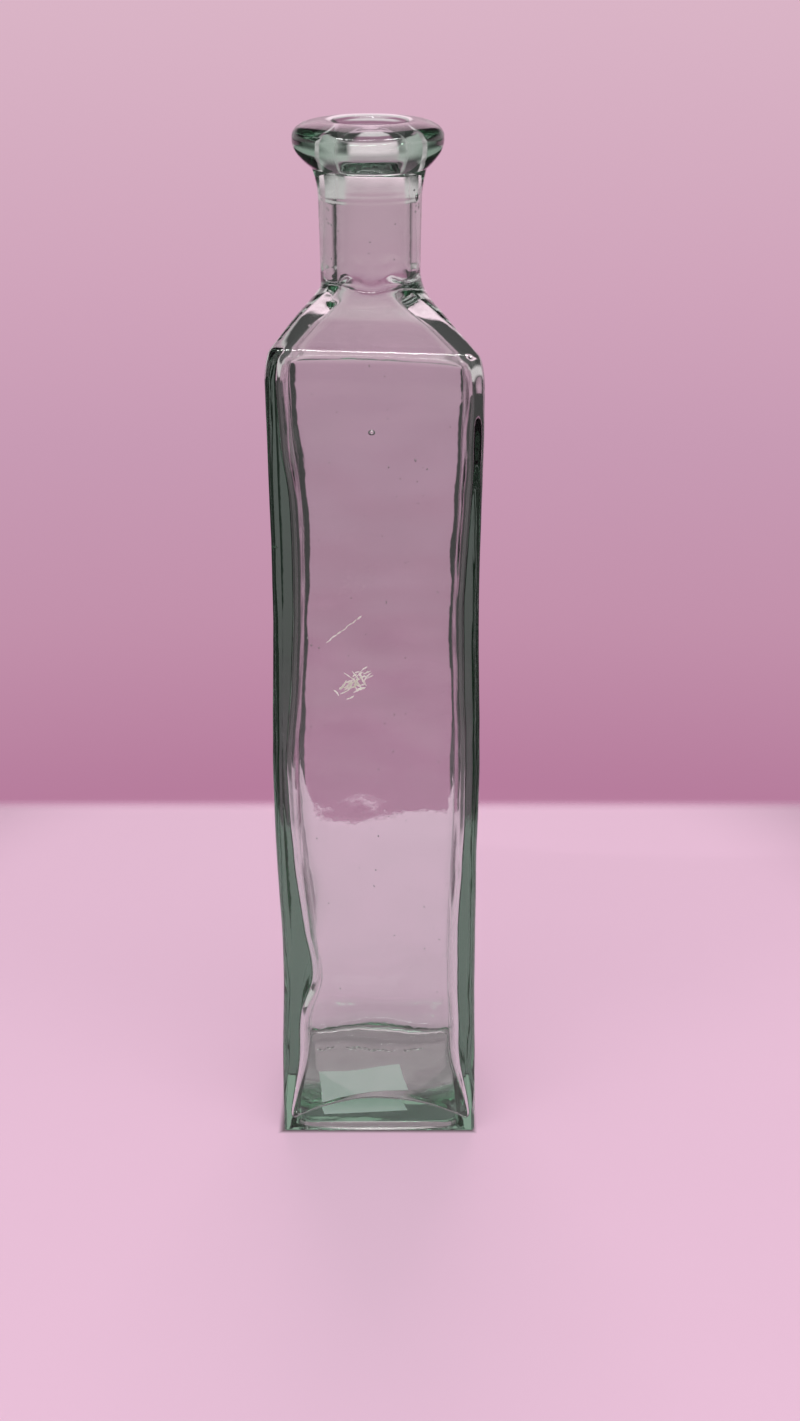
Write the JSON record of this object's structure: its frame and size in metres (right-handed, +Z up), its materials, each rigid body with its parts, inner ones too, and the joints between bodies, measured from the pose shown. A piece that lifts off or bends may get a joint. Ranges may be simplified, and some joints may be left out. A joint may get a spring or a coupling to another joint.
{
  "type": "square glass bottle",
  "caption": "Tall square bottle of pale green recycled glass with uneven hand-finished walls, sloping shoulder, round neck and a heavy rolled lip.",
  "frame": {"origin": "middle of the base, on the resting plane", "axes": "+Z up towards the mouth, -Y the front panel with the label residue, +X to the right of that panel"},
  "size_m": [0.0604, 0.0585, 0.2988],
  "materials": {
    "green_glass": "clear pale green, glossy, with small bubbles and ripples",
    "label_paper": "matt white sticker paper",
    "old_paper": "torn paper and dried glue"
  },
  "bodies": {
    "root": {"glass_body": "green_glass", "applied_lip": "green_glass", "price_label": "label_paper", "label_residue": "old_paper"}
  },
  "joints": []
}
